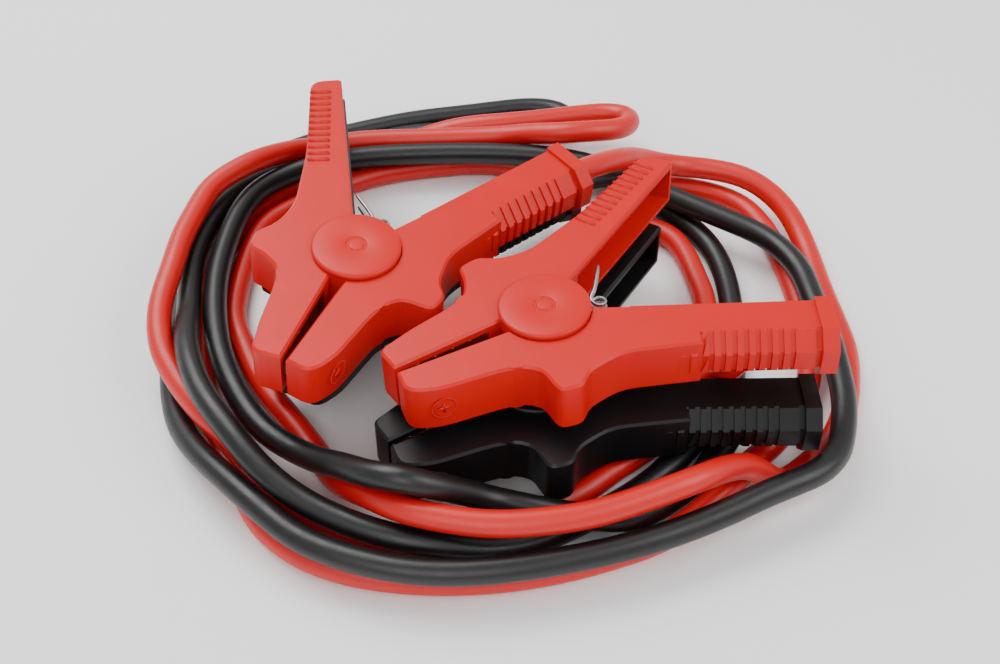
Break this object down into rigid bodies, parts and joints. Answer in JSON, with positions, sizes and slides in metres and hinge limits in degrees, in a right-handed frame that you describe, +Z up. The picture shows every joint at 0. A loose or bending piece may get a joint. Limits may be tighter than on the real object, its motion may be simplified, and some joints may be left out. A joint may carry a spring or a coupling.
{
  "type": "car jumper cable",
  "caption": "Car jumper cable: a red and a black insulated lead in one loose coil, each ending in plastic spring clamps with serrated copper jaws, a round pivot cap and a ribbed grip.",
  "frame": {"origin": "on the floor, under the middle of the coil's bounding box", "axes": "+Z up; +Y away from the viewer of the picture, +X to the right; millimetre source in the same frame"},
  "size_m": [0.2844, 0.2911, 0.0671],
  "materials": {
    "red_grip_plastic": "satin injection-moulded plastic",
    "black_grip_plastic": "satin injection-moulded plastic",
    "red_cable_jacket": "smooth flexible jacket, slightly glossy",
    "black_cable_jacket": "smooth flexible jacket, slightly glossy",
    "copper_jaw": "stamped copper-coated strip, bright",
    "spring_steel": "drawn spring wire"
  },
  "bodies": {
    "cable_set": {"red_lead": "red_cable_jacket", "black_lead": "black_cable_jacket", "red_clamp_right_grip": "red_grip_plastic", "red_clamp_right_rivet": "red_grip_plastic", "red_clamp_right_spring": "spring_steel", "red_clamp_right_grip_jaw": "copper_jaw", "red_clamp_left_grip": "red_grip_plastic", "red_clamp_left_rivet": "red_grip_plastic", "red_clamp_left_spring": "spring_steel", "red_clamp_left_grip_jaw": "copper_jaw", "black_clamp_right_grip": "black_grip_plastic", "black_clamp_right_rivet": "black_grip_plastic", "black_clamp_right_spring": "spring_steel", "black_clamp_right_grip_jaw": "copper_jaw", "black_clamp_left_grip": "black_grip_plastic", "black_clamp_left_rivet": "black_grip_plastic", "black_clamp_left_spring": "spring_steel", "black_clamp_left_grip_jaw": "copper_jaw"},
    "red_clamp_right_lever_body": {"red_clamp_right_lever": "red_grip_plastic", "red_clamp_right_lever_jaw": "copper_jaw"},
    "red_clamp_left_lever_body": {"red_clamp_left_lever": "red_grip_plastic", "red_clamp_left_lever_jaw": "copper_jaw"},
    "black_clamp_right_lever_body": {"black_clamp_right_lever": "black_grip_plastic", "black_clamp_right_lever_jaw": "copper_jaw"},
    "black_clamp_left_lever_body": {"black_clamp_left_lever": "black_grip_plastic", "black_clamp_left_lever_jaw": "copper_jaw"}
  },
  "joints": [
    {"name": "red_clamp_right_squeeze", "type": "hinge", "parent": "cable_set", "child": "red_clamp_right_lever_body", "pos_m": [0.01458, -0.05671, 0.04827], "axis": [0.03, -0.03, -0.9991], "range_deg": [0, 6], "stiffness_Nm_per_rad": 0.6, "springref_deg": -17.19},
    {"name": "red_clamp_left_squeeze", "type": "hinge", "parent": "cable_set", "child": "red_clamp_left_lever_body", "pos_m": [-0.05662, -0.02531, 0.05017], "axis": [-0.079, 0.052, -0.9955], "range_deg": [0, 10], "stiffness_Nm_per_rad": 0.6, "springref_deg": -17.19},
    {"name": "black_clamp_right_squeeze", "type": "hinge", "parent": "cable_set", "child": "black_clamp_right_lever_body", "pos_m": [0.01118, -0.06811, 0.02257], "axis": [0, 0, -1], "range_deg": [0, 10], "stiffness_Nm_per_rad": 0.6, "springref_deg": -17.19},
    {"name": "black_clamp_left_squeeze", "type": "hinge", "parent": "cable_set", "child": "black_clamp_left_lever_body", "pos_m": [-0.05882, -0.00461, 0.02607], "axis": [-0.079, 0.052, -0.9955], "range_deg": [0, 10], "stiffness_Nm_per_rad": 0.6, "springref_deg": -17.19}
  ]
}
